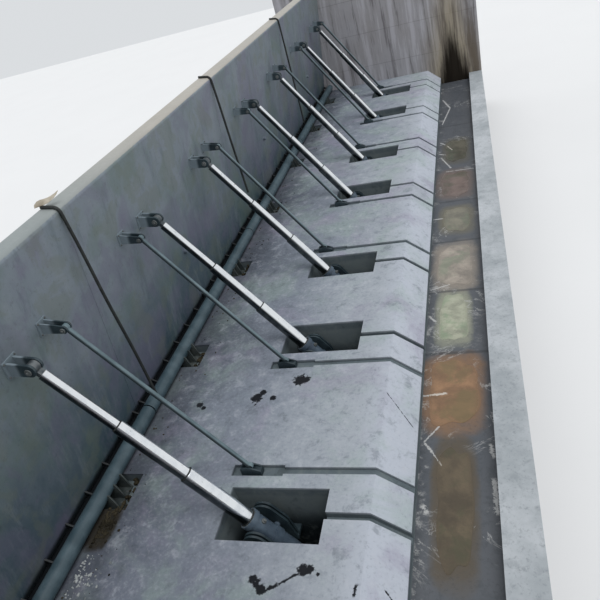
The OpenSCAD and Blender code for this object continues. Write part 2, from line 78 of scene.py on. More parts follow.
# Upper ends of the stages, the barrel and the trunnion along AXIS from PIN
MIDDLE_START = 1.204
LOWER_START = 2.277
BARREL_START = 3.328
TRUNNION_START = 3.786383
BEVEL_HEAD = 3.918
BEVEL_RUN = 0.447
BEVEL_DROP = 0.376
TRENCH_DEPTH = 0.224
DRAIN_START = HINGE.x + BEVEL_HEAD + BEVEL_RUN
DRAIN_BED = SLAB_TOP - BEVEL_DROP - TRENCH_DEPTH
CYLINDER_OFFSET = 1.2
STRUT_OFFSET = 1.89
ROPE_RADIUS = 0.024
# How far above the slab each rope ends
ROPE_ENDS = (0.400, 1.180, 0.780)

# Middles on Y of the heap of mortar and of the scattered plaster beside the first leaf's tube
HEAP_Y = -8.08
PLASTER_Y = -8.80

# Camera fitted to the photograph
CAMERA_SPOT = Vector((3.369, -12.029, 7.954))
CAMERA_RIGHT = Vector((0.9454, 0.2076, -0.2512))
CAMERA_UP = Vector((0.0863, 0.5833, 0.8076))
CAMERA_LENS = 35.03

# Pools in the trench: middle on X and Y, half width, half length and colour from 0 to 255
POOLS = (
    (2.65, -7.15, 0.27, 1.05, (96, 84, 66)),
    (2.63, -5.05, 0.44, 0.82, (146, 112, 82)),
    (2.63, -3.10, 0.29, 0.80, (164, 166, 146)),
    (2.66, -1.30, 0.40, 0.88, (158, 148, 136)),
    (2.70, 0.72, 0.36, 0.66, (118, 114, 98)),
    (2.66, 2.70, 0.42, 0.85, (118, 104, 98)),
    (2.70, 5.00, 0.36, 0.90, (94, 92, 82)),
)
# Lime-filled cracks in the bed of the trench: both ends on X and Y and half width
CRACKS = (
    (2.46, -5.75, 2.21, -6.10, 0.012),
    (2.21, -6.10, 2.34, -6.30, 0.016),
    (2.34, -6.30, 2.47, -6.54, 0.010),
    (2.23, -7.18, 2.30, -7.32, 0.034),
    (2.15, -5.15, 2.53, -5.11, 0.020),
    (2.18, -2.17, 2.56, -2.02, 0.016),
    (2.17, -3.02, 2.31, -3.22, 0.020),
    (2.24, 9.90, 2.50, 8.90, 0.024),
    (2.50, 8.90, 2.26, 7.35, 0.020),
    (2.22, 5.76, 2.40, 5.50, 0.020),
    (2.40, 5.50, 2.58, 5.04, 0.014),
    (2.20, 4.86, 2.46, 4.70, 0.022),
    (2.27, 4.56, 2.55, 3.74, 0.018),
    (2.42, 3.52, 3.16, 3.50, 0.014),
    (2.15, 0.81, 2.47, 0.82, 0.018),
    (3.15, -6.15, 3.18, -6.40, 0.026),
    (3.17, -6.75, 3.18, -7.30, 0.032),
    (3.12, -4.98, 3.22, -4.93, 0.026),
)
# Oil and tar blotches on the slab: middle on X and Y and radius
BLOTCHES = (
    (-0.40, -5.67, 0.085),
    (-0.32, -5.55, 0.05),
    (0.26, -5.30, 0.10),
    (0.36, -5.28, 0.06),
    (-0.12, -5.68, 0.045),
    (-1.39, -5.79, 0.05),
    (-1.30, -5.86, 0.035),
    (0.42, -8.68, 0.05),
    (0.55, -8.80, 0.055),
    (1.00, -8.53, 0.06),
    (1.08, -8.52, 0.05),
    (1.19, -8.57, 0.02),
)
# Tar trails on the slab: both ends on X and Y and half width
TRAILS = (
    (0.41, -8.66, 0.57, -8.82, 0.045),
    (0.57, -8.82, 0.74, -8.72, 0.024),
    (0.74, -8.72, 0.98, -8.56, 0.016),
    (0.24, -5.34, 0.30, -5.14, 0.012),
    (-0.33, -5.62, -0.40, -5.85, 0.018),
    (1.72, -5.65, 2.10, -6.08, 0.006),
    (1.65, -8.66, 1.64, -8.80, 0.016),
    (1.93, -8.60, 2.02, -8.68, 0.010),
)


def leaf_y(n):
    """Middle of a leaf on Y."""
    return (n - 2.5) * PITCH


def cylinder_ys(n):
    """Places on Y of a leaf's two cylinders."""
    return [leaf_y(n) + side * CYLINDER_OFFSET for side in (-1, 1)]


def strut_ys(n):
    """Places on Y of a leaf's two struts."""
    return [leaf_y(n) + side * STRUT_OFFSET for side in (-1, 1)]


def srgb(red, green, blue):
    """Linear colour of a screen colour given from 0 to 255."""

    def channel(value):
        value /= 255.0
        return value / 12.92 if value <= 0.04045 else ((value + 0.055) / 1.055) ** 2.4

    return (channel(red), channel(green), channel(blue), 1.0)


def grey(value):
    """A number in the form of a colour, for mixing."""
    return (value, value, value, 1.0)


# Materials


class Paint:
    """A node material with helpers that each add one step and return its output."""

    def __init__(self, name, roughness=0.6, metallic=0.0, specular=0.5):
        self.material = bpy.data.materials.new(name)
        self.material.use_nodes = True
        self.tree = self.material.node_tree
        self.tree.nodes.clear()
        self.shader = self.tree.nodes.new("ShaderNodeBsdfPrincipled")
        self.shader.inputs["Roughness"].default_value = roughness
        self.shader.inputs["Metallic"].default_value = metallic
        self.shader.inputs["Specular IOR Level"].default_value = specular
        out = self.tree.nodes.new("ShaderNodeOutputMaterial")
        self.link(self.shader.outputs[0], out.inputs[0])
        self.spot = self.tree.nodes.new("ShaderNodeTexCoord").outputs["Object"]
        split = self.tree.nodes.new("ShaderNodeSeparateXYZ")
        self.link(self.spot, split.inputs[0])
        self.x, self.y, self.z = split.outputs
        self.heights = []

    def link(self, a, b):
        self.tree.links.new(a, b)

    def put(self, socket, value):
        """Links an output to a socket, or sets the socket to a constant."""
        if hasattr(value, "is_output"):
            self.link(value, socket)
        else:
            socket.default_value = value

    def math(self, operation, a, b=0.0):
        node = self.tree.nodes.new("ShaderNodeMath")
        node.operation = operation
        for socket, value in zip(node.inputs, (a, b)):
            self.put(socket, value)
        return node.outputs[0]

    def band(self, value, low, high):
        """0 below low and 1 above high, or the other way round where low is above high."""
        node = self.tree.nodes.new("ShaderNodeMapRange")
        node.interpolation_type = "SMOOTHSTEP"
        self.put(node.inputs["Value"], value)
        if low < high:
            ends = (low, high, 0.0, 1.0)
        else:
            ends = (high, low, 1.0, 0.0)
        for name, end in zip(("From Min", "From Max", "To Min", "To Max"), ends):
            node.inputs[name].default_value = end
        return node.outputs[0]

    def vector(self, stretch, shift):
        """Object coordinates, stretched and shifted."""
        node = self.tree.nodes.new("ShaderNodeMapping")
        node.inputs["Scale"].default_value = stretch
        node.inputs["Location"].default_value = shift
        self.link(self.spot, node.inputs["Vector"])
        return node.outputs[0]

    def noise(self, scale, detail=4.0, rough=0.55, stretch=(1, 1, 1), shift=(0, 0, 0), warp=0.0):
        node = self.tree.nodes.new("ShaderNodeTexNoise")
        node.inputs["Scale"].default_value = scale
        node.inputs["Detail"].default_value = detail
        node.inputs["Roughness"].default_value = rough
        node.inputs["Distortion"].default_value = warp
        self.link(self.vector(stretch, shift), node.inputs["Vector"])
        return node.outputs["Fac"]

    def mix(self, share, a, b):
        """Colour a where share is 0 and colour b where it is 1."""
        node = self.tree.nodes.new("ShaderNodeMix")
        node.data_type = "RGBA"
        self.put(node.inputs["Factor"], share)
        self.put(node.inputs[6], a)
        self.put(node.inputs[7], b)
        return node.outputs[2]

    def near(self, centre, radius, edge, fuzz):
        """1 inside a round patch on X and Y, with a ragged edge."""
        dx = self.math("SUBTRACT", self.x, centre[0])
        dy = self.math("SUBTRACT", self.y, centre[1])
        away = self.length(dx, dy)
        away = self.ragged(away, fuzz, radius * 2.2)
        return self.band(away, radius * (1 + edge), radius * (1 - edge))

    def patch(self, centre, half, fuzz, soft=0.5):
        """1 inside a rounded rectangle on X and Y, with a soft and ragged edge."""
        dx = self.math("DIVIDE", self.math("SUBTRACT", self.x, centre[0]), half[0])
        dy = self.math("DIVIDE", self.math("SUBTRACT", self.y, centre[1]), half[1])
        far = self.math("ADD", self.math("POWER", self.math("ABSOLUTE", dx), 4.0),
                        self.math("POWER", self.math("ABSOLUTE", dy), 4.0))
        far = self.ragged(far, fuzz, 2.4)
        return self.band(far, 1 + soft, 1 - soft)

    def stroke(self, start, end, half, fuzz):
        """1 along a ragged line between two points on X and Y."""
        run = math.hypot(end[0] - start[0], end[1] - start[1])
        ahead = ((end[0] - start[0]) / run, (end[1] - start[1]) / run, 0.0)
        beside = (-ahead[1], ahead[0], 0.0)
        off = self.math("ABSOLUTE", self.along((*start, 0.0), beside))
        off = self.ragged(off, fuzz, half * 7)
        on = self.along((*start, 0.0), ahead)
        line = self.both(self.band(off, half * 1.3, half * 0.5), self.band(on, -half, half))
        return self.both(line, self.band(on, run + half, run - half))

    def facing(self, direction):
        """How far the surface faces a direction, from -1 to 1."""
        node = self.tree.nodes.new("ShaderNodeVectorMath")
        node.operation = "DOT_PRODUCT"
        normal = self.tree.nodes.new("ShaderNodeNewGeometry").outputs["Normal"]
        self.link(normal, node.inputs[0])
        node.inputs[1].default_value = direction
        return node.outputs["Value"]

    def along(self, start, direction):
        """Distance from a point along a direction."""
        node = self.tree.nodes.new("ShaderNodeVectorMath")
        node.operation = "DOT_PRODUCT"
        self.link(self.spot, node.inputs[0])
        node.inputs[1].default_value = direction
        return self.math("SUBTRACT", node.outputs["Value"], Vector(start).dot(Vector(direction)))

    def both(self, a, b):
        """Product of two shares or values."""
        return self.math("MULTIPLY", a, b)

    def either(self, a, b):
        """The greater of two shares."""
        return self.math("MAXIMUM", a, b)

    def length(self, a, b):
        """Length of the vector with these two components."""
        return self.math("SQRT", self.math("ADD", self.both(a, a), self.both(b, b)))

    def ragged(self, value, fuzz, reach):
        """A value moved to and fro by a noise, over a reach in all."""
        return self.math("ADD", value, self.both(self.math("SUBTRACT", fuzz, 0.5), reach))

    def bump(self, height, distance, strength):
        """Adds unevenness on top of what is there."""
        node = self.tree.nodes.new("ShaderNodeBump")
        node.inputs["Strength"].default_value = strength
        node.inputs["Distance"].default_value = distance
        self.link(height, node.inputs["Height"])
        if self.heights:
            self.link(self.heights[-1], node.inputs["Normal"])
        self.heights.append(node.outputs[0])

    def done(self, colour, roughness=None):
        """Connects the shader and returns the finished material."""
        self.put(self.shader.inputs["Base Color"], colour)
        if roughness is not None:
            self.put(self.shader.inputs["Roughness"], roughness)
        if self.heights:
            self.link(self.heights[-1], self.shader.inputs["Normal"])
        return self.material


def slab_concrete():
    """Weathered slab: darker towards the hinge tube, with painted shadow under it, paler
    downstream, and damp in its pits, where painted shade deepens with depth.
    """
    p = Paint("slab_concrete", roughness=0.88, specular=0.15)
    across = p.math("SUBTRACT", p.x, HINGE.x)
    cloud = p.noise(0.45, 6, 0.62, warp=0.4)
    small = p.noise(4.0, 8, 0.72, shift=(1, 4, 2), warp=0.3)
    fine = p.noise(19.0, 6, 0.75)
    grain = p.noise(70.0, 3, 0.7)
    reach = p.ragged(across, cloud, 3.4)
    reach = p.ragged(reach, small, 1.6)
    colour = p.mix(p.band(reach, -0.2, 1.7), srgb(88, 94, 105), srgb(126, 133, 144))
    colour = p.mix(p.band(reach, 1.4, 4.2), colour, srgb(160, 166, 173))
    colour = p.mix(p.both(p.band(across, 3.45, 4.0), 0.50), colour, srgb(190, 195, 207))
    near_end = p.band(p.ragged(p.y, cloud, 4.0), -6.5, -8.8)
    shaded = p.both(near_end, p.band(across, 3.6, 2.6))
    colour = p.mix(p.both(shaded, 0.45), colour, srgb(100, 104, 118))
    # Green and lilac films in broad patches
    green = p.band(p.noise(0.8, 6, 0.65, shift=(7, 3, 1), warp=0.5), 0.46, 0.64)
    colour = p.mix(p.both(green, 0.42), colour, srgb(142, 160, 152))
    lilac = p.band(p.noise(0.7, 6, 0.65, shift=(2, 9, 4), warp=0.5), 0.50, 0.66)
    colour = p.mix(p.both(lilac, 0.48), colour, srgb(142, 136, 156))
    # Worn pale laitance, damp patches, trowel marks and grit
    colour = p.mix(p.both(p.band(small, 0.52, 0.68), 0.36), colour, srgb(182, 185, 192))
    colour = p.mix(p.both(p.band(small, 0.47, 0.33), 0.42), colour, srgb(92, 100, 106))
    colour = p.mix(p.both(p.band(fine, 0.50, 0.66), 0.18), colour, srgb(190, 192, 198))
    colour = p.mix(p.both(p.band(fine, 0.46, 0.34), 0.24), colour, srgb(84, 88, 98))
    tar = 0.0
    for x, y, radius in BLOTCHES:
        tar = p.either(tar, p.near((x, y), radius * 1.15, 0.16, fine))
    for x0, y0, x1, y1, half in TRAILS:
        tar = p.either(tar, p.stroke((x0, y0), (x1, y1), half, fine))
    colour = p.mix(p.both(tar, 0.97), colour, srgb(16, 17, 22))
    # Damp dirt and painted shade darken the slab just downstream of the hinge tube, and painted
    # shadow blackens it under the tube
    ragged = p.ragged(across, small, 0.9)
    colour = p.mix(p.both(p.band(ragged, 0.95, 0.15), 0.60), colour, srgb(62, 66, 74))
    # Painted shadow: the slab under the hinge tube and the leaf's foot is painted near black
    painted_shadow_under_tube = p.both(p.band(across, 0.06, -0.04), p.band(across, -0.75, -0.55))
    colour = p.mix(painted_shadow_under_tube, colour, srgb(30, 34, 38))
    heap = p.patch((HINGE.x + 0.20, HEAP_Y), (0.20, 0.36), small, 0.8)
    colour = p.mix(p.both(heap, 0.9), colour, p.mix(fine, srgb(16, 16, 14), srgb(58, 50, 34)))
    # Depth below the top of the slab or below the bevel
    past = p.math("MAXIMUM", p.math("SUBTRACT", across, BEVEL_HEAD), 0.0)
    fall = p.both(past, BEVEL_DROP / BEVEL_RUN)
    top = p.math("SUBTRACT", SLAB_TOP, fall)
    depth = p.math("SUBTRACT", top, p.z)
    inside = p.band(depth, 0.004, 0.05)
    deep = p.band(depth, 0.05, 0.7)
    # Painted shade: the pit walls darken with depth; the tide line and the patches are damp
    # concrete
    pit_damp_and_shade = p.mix(p.band(depth, 0.10, 0.95), srgb(94, 104, 109), srgb(32, 39, 43))
    tide = p.both(p.band(depth, 0.12, 0.20), p.band(depth, 0.75, 0.35))
    pit_damp_and_shade = p.mix(tide, pit_damp_and_shade, srgb(108, 118, 121))
    pit_damp_and_shade = p.mix(p.both(p.band(small, 0.50, 0.62), 0.3), pit_damp_and_shade, srgb(122, 130, 128))
    pit_damp_and_shade = p.mix(p.both(p.band(small, 0.48, 0.36), 0.35), pit_damp_and_shade, srgb(52, 60, 60))
    sides = p.both(inside, p.band(p.math("ABSOLUTE", p.y), WALL_FACE - 0.001, WALL_FACE - 0.010))
    colour = p.mix(sides, colour, pit_damp_and_shade)
    p.bump(small, 0.008, 0.5)
    p.bump(fine, 0.003, 0.5)
    p.bump(grain, 0.0015, 0.5)
    return p.done(colour, p.mix(deep, grey(0.88), grey(0.5)))


def channel_concrete():
    """Pale curb, and the dark bed of the trench with silt round its pools."""
    p = Paint("channel_concrete", roughness=0.8)
    small = p.noise(5.0, 8, 0.72, warp=0.4)
    fine = p.noise(22.0, 6, 0.75)
    grain = p.noise(70.0, 3, 0.7)
    cloud = p.noise(0.7, 6, 0.62)
    curb = p.mix(p.band(cloud, 0.35, 0.65), srgb(150, 156, 160), srgb(184, 188, 192))
    curb = p.mix(p.both(p.band(small, 0.50, 0.66), 0.5), curb, srgb(132, 138, 142))
    curb = p.mix(p.both(p.band(fine, 0.47, 0.34), 0.4), curb, srgb(104, 110, 114))
    bed = p.mix(cloud, srgb(66, 72, 80), srgb(92, 94, 98))
    bed = p.mix(p.both(p.band(small, 0.48, 0.66), 0.5), bed, srgb(56, 62, 66))
    silt = p.noise(1.7, 6, 0.62, shift=(3, 7, 0), warp=0.4)
    for x, y, half_x, half_y, tone in POOLS:
        rim = p.patch((x, y), (half_x * 1.12, half_y * 1.06), silt, 0.9)
        bed = p.mix(p.both(rim, 0.95), bed, srgb(*(c * 0.86 for c in tone)))
    # Dark joints across the bed and pale lime crust along its edges and cracks
    for y in (-9.6, -4.13, -2.26, -0.32, 1.67, 7.1):
        joint = p.band(p.math("ABSOLUTE", p.math("SUBTRACT", p.y, y)), 0.05, 0.015)
        bed = p.mix(p.both(joint, 0.6), bed, srgb(44, 48, 52))
    veins = p.math("SUBTRACT", p.noise(0.8, 8, 0.68, warp=1.0), 0.5)
    crust = p.band(p.math("ABSOLUTE", veins), 0.012, 0.002)
    crust = p.both(crust, p.band(p.noise(0.6, 4, 0.6, shift=(8, 8, 8)), 0.47, 0.58))
    edge = p.band(p.ragged(p.x, small, 0.5), DRAIN_START + 0.18, DRAIN_START + 0.05)
    edge = p.both(edge, p.band(p.noise(2.4, 6, 0.7, shift=(5, 1, 2)), 0.54, 0.64))
    crust = p.both(p.either(crust, edge), 0.6)
    for x0, y0, x1, y1, half in CRACKS:
        crust = p.either(crust, p.stroke((x0, y0), (x1, y1), half, fine))
    bed = p.mix(p.both(crust, 0.75), bed, srgb(198, 198, 196))
    bed = p.mix(p.both(p.band(fine, 0.47, 0.34), 0.35), bed, srgb(46, 50, 52))
    depth = p.math("SUBTRACT", SLAB_TOP - BEVEL_DROP, p.z)
    inside = p.band(depth, 0.004, 0.03)
    colour = p.mix(inside, curb, bed)
    p.bump(small, 0.008, 0.5)
    p.bump(grain, 0.002, 0.6)
    return p.done(colour, p.mix(inside, grey(0.85), grey(0.42)))


def wall_concrete():
    """End walls with drips from above and seams between pours."""
    p = Paint("wall_concrete", roughness=0.85, specular=0.15)
    small = p.noise(5.0, 6, 0.65, warp=0.5)
    grain = p.noise(60.0, 3, 0.7)
    cloud = p.noise(0.8, 5, 0.6)
    colour = p.mix(cloud, srgb(146, 142, 141), srgb(166, 166, 172))
    drips = p.noise(3.4, 6, 0.7, stretch=(1, 1, 0.07))
    colour = p.mix(p.both(p.band(drips, 0.51, 0.61), 0.75), colour, srgb(182, 180, 186))
    colour = p.mix(p.both(p.band(drips, 0.47, 0.37), 0.7), colour, srgb(98, 94, 98))
    # Seams between pours of concrete, 1.22 m apart
    pour = p.math("FRACT", p.math("DIVIDE", p.z, 1.22))
    seam = p.band(p.math("ABSOLUTE", p.math("SUBTRACT", pour, 0.5)), 0.493, 0.498)
    colour = p.mix(p.both(seam, 0.5), colour, srgb(84, 82, 78))
    # Brown and black stain that spreads downwards on the inner face of the far wall
    stain_x = p.math("SUBTRACT", p.x, DRAIN_START + 0.55)
    cone = p.math("ADD", p.math("ABSOLUTE", stain_x), p.both(p.math("SUBTRACT", p.z, 1.2), 0.27))
    cone = p.ragged(cone, drips, 0.9)
    brown = p.mix(p.band(drips, 0.44, 0.58), srgb(98, 86, 66), srgb(150, 138, 112))
    inner = p.band(p.math("ABSOLUTE", p.math("SUBTRACT", p.y, WALL_FACE)), 0.2, 0.05)
    colour = p.mix(p.both(p.both(inner, p.band(cone, 1.7, 0.7)), 0.75), colour, brown)
    stain = p.both(inner, p.band(cone, 0.78, 0.36))
    colour = p.mix(p.both(stain, 0.96), colour, srgb(20, 14, 8))
    p.bump(small, 0.008, 0.5)
    p.bump(grain, 0.002, 0.5)
    p.bump(seam, 0.004, 0.8)
    return p.done(colour)


def leaf_paint():
    """Worn blue-grey paint, darker towards the foot."""
    p = Paint("leaf_paint", roughness=0.5)
    cloud = p.noise(0.8, 7, 0.64, warp=0.5)
    streak = p.noise(3.6, 7, 0.7, stretch=(1, 1, 0.20))
    small = p.noise(14.0, 6, 0.75)
    height = p.along(HINGE, UP)
    low = p.mix(cloud, srgb(50, 70, 80), srgb(70, 87, 97))
    high = p.mix(cloud, srgb(112, 124, 132), srgb(132, 140, 148))
    rise = p.ragged(height, cloud, 2.4)
    colour = p.mix(p.band(rise, -0.2, 2.9), low, high)
    colour = p.mix(p.both(p.band(streak, 0.50, 0.68), 0.36), colour, srgb(136, 144, 150))
    colour = p.mix(p.both(p.band(streak, 0.47, 0.33), 0.36), colour, srgb(66, 84, 92))
    hue = p.noise(0.6, 6, 0.6, shift=(5, 2, 1))
    colour = p.mix(p.both(p.band(hue, 0.50, 0.62), 0.42), colour, srgb(112, 106, 128))
    colour = p.mix(p.both(p.band(hue, 0.47, 0.36), 0.46), colour, srgb(92, 112, 104))
    tint = p.noise(1.5, 5, 0.6, shift=(3, 6, 2), warp=0.4)
    colour = p.mix(p.both(p.band(tint, 0.51, 0.60), 0.34), colour, srgb(104, 112, 98))
    colour = p.mix(p.both(p.band(tint, 0.48, 0.39), 0.30), colour, srgb(104, 98, 122))
    colour = p.mix(p.both(p.band(small, 0.47, 0.34), 0.25), colour, srgb(52, 60, 64))
    specks = p.band(p.noise(9.0, 6, 0.75, shift=(2, 8, 3)), 0.64, 0.72)
    rust = p.both(specks, p.band(streak, 0.45, 0.6))
    colour = p.mix(p.both(rust, 0.6), colour, srgb(92, 72, 58))
    # Bare concrete shows along the crest, and the lowest 0.1 m of the leaf is painted black as the
    # shadow behind the hinge tube
    top = p.math("ADD", height, p.both(small, 0.02))
    bare = p.band(top, LEAF_HEIGHT - 0.029, LEAF_HEIGHT - 0.013)
    cool = p.mix(cloud, srgb(122, 130, 130), srgb(150, 156, 156))
    cream = p.mix(cloud, srgb(156, 152, 144), srgb(184, 179, 170))
    colour = p.mix(bare, colour, p.mix(p.band(p.y, -7.0, -2.0), cool, cream))
    # Painted shadow: the leaf's foot behind the hinge tube is painted near black
    colour = p.mix(p.band(height, 0.10, 0.0), colour, srgb(24, 30, 34))
    p.bump(cloud, 0.004, 0.6)
    p.bump(small, 0.0012, 0.5)
    shine = p.mix(p.band(small, 0.3, 0.7), grey(0.42), grey(0.62))
    return p.done(colour, shine)


def satin_paint(
    name, light, dark, roughness=0.45, wear=srgb(128, 130, 130),
    shade=None, shaft=None, foot=None, specular=0.5,
):
    """Cloudy colour with worn specks and fine unevenness, for painted steel and mortar.

    shade is the direction that faces away from the underside, painted dark as shade, shaft
    the radius beyond which the hinge tube's plates are painted black as shadow, and foot
    the colour of bracket feet.
    """
    p = Paint(name, roughness=roughness, specular=specular)
    cloud = p.noise(3.0, 5, 0.6)
    small = p.noise(30.0, 5, 0.7)
    colour = p.mix(p.band(cloud, 0.3, 0.7), dark, light)
    colour = p.mix(p.both(p.band(p.noise(18.0, 6, 0.75), 0.62, 0.72), 0.5), colour, wear)
    if shade is not None:
        # Painted shade darkens the underside
        colour = p.mix(p.both(p.band(p.facing(shade), 0.25, -0.35), 0.8), colour, srgb(24, 30, 34))
    if shaft is not None:
        # What stands out from the hinge tube is painted black as shadow
        dx = p.math("SUBTRACT", p.x, HINGE.x)
        dz = p.math("SUBTRACT", p.z, HINGE.z)
        away = p.length(dx, dz)
        colour = p.mix(p.band(away, shaft + 0.001, shaft + 0.004), colour, srgb(22, 27, 30))
    if foot is not None:
        # Bracket feet carry the paint of the leaf
        near = p.both(p.band(p.along(HINGE + FACE * OUT, OUT), 0.19, 0.12), p.band(p.z, 3.0, 3.2))
        colour = p.mix(p.both(near, 0.92), colour, p.mix(cloud, foot, srgb(130, 142, 149)))
    p.bump(cloud, 0.002, 0.5)
    p.bump(small, 0.0006, 0.5)
    shine = p.mix(p.band(small, 0.3, 0.7), grey(roughness - 0.1), grey(roughness + 0.12))
    return p.done(colour, shine)


def chrome():
    """Polished stages, painted bright above and dark below as reflection of the damp slab, with a
    dull rod eye.
    """
    p = Paint("chrome_stage", roughness=0.14, metallic=1.0)
    film = p.noise(6.0, 5, 0.6)
    # Painted reflection: near white where a stage faces up towards the light, dark grey where it
    # faces down
    over = p.facing((0.54, 0.72, 0.43))
    bright = p.mix(p.band(film, 0.4, 0.75), srgb(252, 254, 255), srgb(234, 238, 242))
    dark = p.mix(p.band(film, 0.35, 0.7), srgb(70, 76, 80), srgb(104, 108, 108))
    colour = p.mix(p.band(over, -0.34, 0.02), dark, bright)
    oil = p.band(p.noise(11.0, 6, 0.7, shift=(3, 1, 6)), 0.60, 0.70)
    colour = p.mix(p.both(oil, 0.30), colour, srgb(120, 118, 112))
    head = p.band(p.along(PIN, AXIS), 0.136, 0.126)
    dull = p.mix(p.band(film, 0.4, 0.6), srgb(92, 98, 102), srgb(122, 126, 128))
    colour = p.mix(head, colour, dull)
    shine = p.mix(p.band(film, 0.35, 0.7), grey(0.10), grey(0.24))
    shine = p.mix(head, shine, grey(0.55))
    p.bump(p.noise(200.0, 2, 0.5), 0.0002, 0.3)
    return p.done(colour, shine)


def rubber():
    """Weathered dark rubber with a trace of moss."""
    p = Paint("rope_rubber", roughness=0.7)
    film = p.noise(12.0, 5, 0.7)
    colour = p.mix(p.band(film, 0.4, 0.7), srgb(24, 27, 27), srgb(44, 48, 45))
    moss = p.band(p.noise(3.0, 5, 0.6, shift=(1, 5, 2)), 0.58, 0.7)
    colour = p.mix(p.both(moss, 0.35), colour, srgb(62, 66, 44))
    p.bump(film, 0.001, 0.6)
    return p.done(colour)


def pool_water(index, tone, spot, half):
    """Shallow murky water over silt, darker towards its rim."""
    p = Paint(f"pool_water_{index}", roughness=0.10)
    silt = p.noise(2.0, 7, 0.68, shift=(4, index, 0), warp=0.3)
    fine = p.noise(16.0, 6, 0.75, shift=(1, 2, index))
    deep = srgb(*(c * 0.78 for c in tone))
    pale = srgb(*(min(c * 1.08, 255) for c in tone))
    colour = p.mix(p.band(silt, 0.32, 0.68), deep, pale)
    colour = p.mix(p.both(p.band(fine, 0.46, 0.32), 0.30), colour, srgb(*(c * 0.6 for c in tone)))
    film = p.noise(1.5, 6, 0.65, shift=(index, 3, 1), warp=0.4)
    mossy = srgb(tone[0] * 0.74, tone[1] * 0.86, tone[2] * 0.78)
    colour = p.mix(p.both(p.band(film, 0.48, 0.62), 0.6), colour, mossy)
    for x0, y0, x1, y1, wide in CRACKS:
        if abs((x0 + x1) / 2 - spot[0]) < half[0] and abs((y0 + y1) / 2 - spot[1]) < half[1]:
            line = p.both(p.stroke((x0, y0), (x1, y1), wide, fine), 0.8)
            colour = p.mix(line, colour, srgb(206, 200, 190))
    middle = p.patch(spot, (half[0] * 0.80, half[1] * 0.88), silt, 0.8)
    colour = p.mix(middle, srgb(*(c * 0.86 for c in tone)), colour)
    p.bump(p.noise(4.0, 3, 0.5), 0.001, 0.3)
    return p.done(colour, p.mix(middle, grey(0.42), grey(0.10)))


LOOKS = {
    "slab_concrete": slab_concrete(),
    "channel_concrete": channel_concrete(),
    "wall_concrete": wall_concrete(),
    "bearing_steel": satin_paint(
        "bearing_steel", srgb(84, 90, 88), srgb(46, 54, 56), 0.5, srgb(150, 146, 138)
    ),
    "dark_steel": satin_paint(
        "dark_steel", srgb(52, 66, 72), srgb(28, 40, 46), foot=srgb(116, 129, 137)
    ),
    "leaf_paint": leaf_paint(),
    "tube_paint": satin_paint(
        "tube_paint", srgb(78, 96, 104), srgb(54, 72, 80), 0.4,
        shade=(0.5, 0.2, 0.84), shaft=TUBE_RADIUS,
    ),
    "chrome_stage": chrome(),
    "barrel_paint": satin_paint("barrel_paint", srgb(90, 105, 118), srgb(54, 66, 80), 0.4),
    "strut_paint": satin_paint(
        "strut_paint", srgb(104, 122, 128), srgb(80, 98, 104), 0.42, shade=(0.54, 0.72, 0.43)
    ),
    "rope_rubber": rubber(),
}
ZINC = satin_paint("bolt_zinc", srgb(104, 108, 108), srgb(66, 70, 70), 0.4, srgb(104, 82, 62))
TORN = satin_paint("torn_strip", srgb(188, 180, 164), srgb(110, 99, 82), 0.7, srgb(64, 54, 42))
RUBBLE = satin_paint(
    "rubble", srgb(72, 66, 52), srgb(18, 17, 14), 0.8, srgb(104, 98, 84), specular=0.1
)
PLASTER = satin_paint("plaster", srgb(170, 174, 174), srgb(98, 104, 106), 0.8, specular=0.2)

slot_of = {row["node"]: row["material_slot"] for row in frame["record"]["subparts"]}
for name, cad in frame["nodes"].items():
    cad.data.materials.clear()
    cad.data.materials.append(LOOKS[slot_of[name]])


# Stage, light and camera


def make_stage():
    half = 60.0
    mesh = bpy.data.meshes.new("floor")
    corners = [(-half, -half, 0), (half, -half, 0), (half, half, 0), (-half, half, 0)]
    mesh.from_pydata(corners, [], [(0, 1, 2, 3)])
    floor = bpy.data.objects.new("floor", mesh)
    bpy.context.scene.collection.objects.link(floor)
    p = Paint("floor_paint", roughness=0.9)
    tint = p.noise(0.3, 2, 0.5)
    mesh.materials.append(p.done(p.mix(tint, srgb(226, 226, 226), srgb(230, 230, 230))))


def make_light():
    world = bpy.data.worlds.new("studio")
    bpy.context.scene.world = world
    world.use_nodes = True
    sky = world.node_tree.nodes["Background"]
    sky.inputs["Color"].default_value = (0.94, 0.97, 1.0, 1.0)
    sky.inputs["Strength"].default_value = 0.75
    sun = bpy.data.lights.new("soft_sun", "SUN")
    sun.energy = 1.4
    sun.angle = math.radians(40)
    lamp = bpy.data.objects.new("soft_sun", sun)
    lamp.rotation_euler = Vector((-0.35, 0.25, -1.0)).to_track_quat("-Z", "Y").to_euler()
    bpy.context.scene.collection.objects.link(lamp)


def make_camera():
    camera = bpy.data.cameras.new("camera")
    camera.sensor_width = 36.0
    camera.lens = CAMERA_LENS
    camera.clip_end = 300.0
    back = CAMERA_RIGHT.cross(CAMERA_UP)
    columns = (CAMERA_RIGHT, CAMERA_UP, back)
    turn = Matrix([[column[row] for column in columns] for row in range(3)]).to_4x4()
    view = bpy.data.objects.new("camera", camera)
    view.matrix_world = Matrix.Translation(CAMERA_SPOT) @ turn
    bpy.context.scene.collection.objects.link(view)
    bpy.context.scene.camera = view


make_stage()
make_light()
make_camera()
scene = bpy.context.scene
scene.view_settings.view_transform = "Standard"


# Helpers that build meshes


def add_mesh(name, mesh, look, body, smooth=False):
    """Makes a piece of a finished bmesh, gives it its material and hangs it on a body."""
    data = bpy.data.meshes.new(name)
    mesh.to_mesh(data)
    mesh.free()
    piece = bpy.data.objects.new(name, data)
    bpy.context.scene.collection.objects.link(piece)
    data.materials.append(look)
    if smooth:
        for face in data.polygons:
            face.use_smooth = True
        piece.data.set_sharp_from_angle(angle=math.radians(35))
    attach(piece, body)
    return piece


